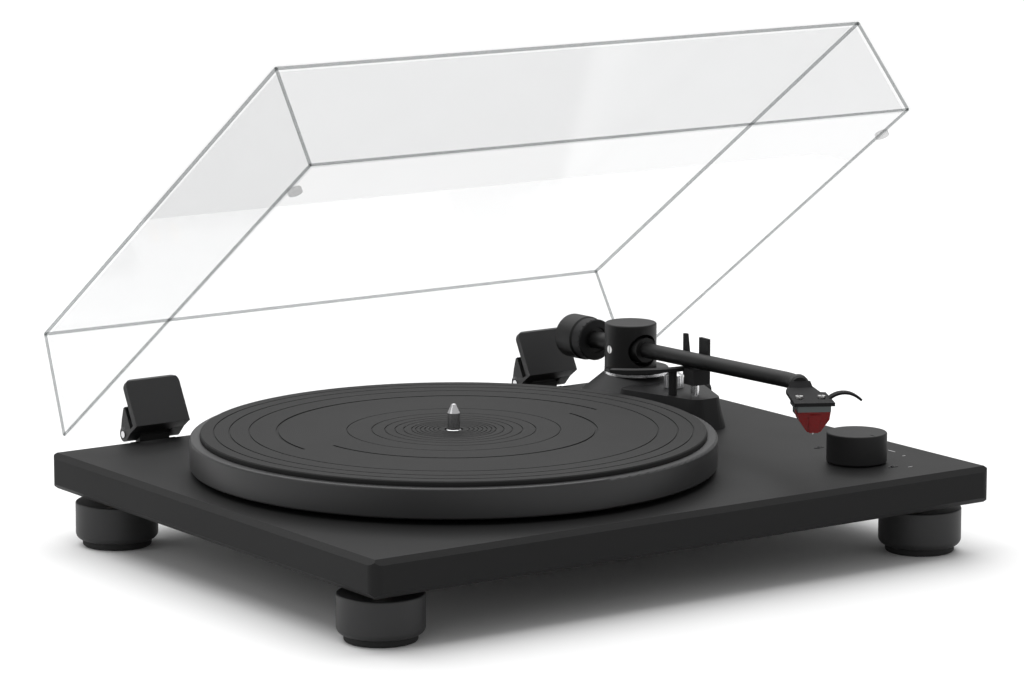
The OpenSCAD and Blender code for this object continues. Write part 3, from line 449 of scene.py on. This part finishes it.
# %% [markdown]
# ## Printed marks by the speed knob
# Round the knob the deck carries a few pale printed marks and two small lights. The print is
# only ink, so each mark is a wafer a tenth of a millimetre thick lying on the paint. Plain dots
# and dashes stand for the figures.

# %% Knob marks and lights
ink = finish("pale_ink", (0.45, 0.45, 0.45), 0.6, vary=0.25, grain=2500, bump=0.1)
INK = 0.0001  # thickness of the print
# name, x and y from the knob's axis, size along x and y
MARKS = [("mark_rear", 0.0157, 0.038, 0.0030, 0.0005),
         ("mark_front", 0.0166, -0.0278, 0.0030, 0.0005),
         ("mark_stop", 0.0365, 0.0125, 0.0005, 0.0060),
         ("mark_right", 0.0335, -0.002, 0.0022, 0.0005)]
for name, x, y, w, d in MARKS:
    fresh()
    bpy.ops.mesh.primitive_cube_add(size=1, location=KNOB + Vector((x, y, INK / 2)))
    bpy.context.active_object.scale = (w, d, INK)
    settle_piece(name, ink, "base")
print("printed marks:", len(MARKS))

# %% [markdown]
# ## Cartridge leads
# Four thin leads join the cartridge's pins to the tonearm tube, one colour for each terminal.
# Each ends in a tiny clip sleeved over its pin. The leads bow down slightly, since real ones
# are cut with some slack so that the cartridge can be aligned.

# %% Leads and clips
COLOURS = {"white": (0.7, 0.7, 0.68), "red": (0.45, 0.02, 0.02), "green": (0.02, 0.25, 0.05),
           "blue": (0.02, 0.05, 0.35)}
PIN_Z = 0.0119
for i, (name, colour) in enumerate(COLOURS.items()):
    side = -0.0045 + 0.003 * i
    coat = finish("lead_" + name, colour, 0.4, vary=0.1, grain=1500, bump=0.05)
    rod("clip_" + name, head_point(-0.0278, side, PIN_Z), head_point(-0.0245, side, PIN_Z), 0.00085,
        turned, "arm", 16)
    wire("cartridge_lead_" + name,
         [head_point(-0.0278, side, PIN_Z), head_point(-0.031, side, PIN_Z - 0.0006),
          head_point(-0.035, side * 0.8, PIN_Z - 0.0012),
          head_point(-0.040, side * 0.5, PIN_Z + 0.001),
          head_point(-0.0445, side * 0.35, PIN_Z + 0.0035)], 0.00035, coat, "arm")
print("leads:", len(COLOURS))

# %% [markdown]
# ## Rings round the signal sockets
# At the back, a coloured insulating ring tells left from right. It is a small moulded washer
# that lies against the socket's flange.

# %% Socket rings
for name, x, colour in (("left", -0.073, (0.75, 0.75, 0.73)), ("right", -0.087, (0.5, 0.02, 0.02))):
    ring_plastic = finish("socket_ring_" + name, colour, 0.4, vary=0.06, grain=900)
    fresh()
    bpy.ops.mesh.primitive_torus_add(major_radius=0.0048, minor_radius=0.0005, major_segments=48,
                                     minor_segments=12, location=(x, BACK + 0.0033, 0.0409),
                                     rotation=(math.pi / 2, 0, 0))
    bpy.ops.object.shade_smooth()
    settle_piece("socket_ring_" + name, ring_plastic, "base")

# %% [markdown]
# ## Floor, light and camera
# The object stands on a pale floor in an even, bright studio. A broad panel overhead lifts the
# top faces above the sides, and a weaker one at the left separates the side from the front.
# The camera is far away with a long lens, low enough to see under the raised cover.

# %% Stage
FLOOR_SIZE = 2.4
SKY_LIGHT = 0.6
SKY_SEEN = 1.12  # a little over white, so that the ground stays white in the picture

fresh()
bpy.ops.mesh.primitive_plane_add(size=FLOOR_SIZE, location=(0, 0, 0))
floor = bpy.context.active_object
floor.name = "floor"
floor.data.materials.append(finish("pale_floor", (0.77, 0.77, 0.77), 0.7, vary=0.01, grain=60,
                                   bump=0.0, spec=0.1))

world = bpy.data.worlds.new("studio")
bpy.context.scene.world = world
world.use_nodes = True
sky = world.node_tree.nodes["Background"]
sky.inputs["Color"].default_value = (1, 1, 1, 1)
sky.inputs["Strength"].default_value = SKY_LIGHT
seen = world.node_tree.nodes.new("ShaderNodeLightPath")
lift = world.node_tree.nodes.new("ShaderNodeMapRange")
lift.inputs["To Min"].default_value = SKY_LIGHT
lift.inputs["To Max"].default_value = SKY_SEEN
world.node_tree.links.new(seen.outputs["Is Camera Ray"], lift.inputs["Value"])
world.node_tree.links.new(lift.outputs["Result"], sky.inputs["Strength"])


def panel(name, at, aim, size, watts):
    lamp = bpy.data.lights.new(name, "AREA")
    lamp.shape = "SQUARE"
    lamp.size = size
    lamp.energy = watts
    holder = bpy.data.objects.new(name, lamp)
    bpy.context.collection.objects.link(holder)
    holder.location = at
    holder.rotation_euler = (Vector(aim) - Vector(at)).to_track_quat("-Z", "Y").to_euler()


panel("top_panel", (0.1, 0.6, 1.9), (0, 0, 0.05), 3.2, 76)
panel("left_panel", (-2.2, 0.2, 1.1), (0, 0, 0.05), 1.4, 5)
bpy.context.scene.view_settings.view_transform = "Standard"

LOOK_DOWN, LOOK_RIGHT = 10.19, 34.99  # degrees
eye = bpy.data.cameras.new("camera")
eye.lens = 153.8
eye.sensor_width = 36
camera = bpy.data.objects.new("camera", eye)
bpy.context.collection.objects.link(camera)
camera.location = (-1.4107, -2.0237, 0.5607)
camera.rotation_euler = (math.radians(90 - LOOK_DOWN), 0, math.radians(-LOOK_RIGHT))
bpy.context.scene.camera = camera
print("stage: floor, sky, two panels and the camera")
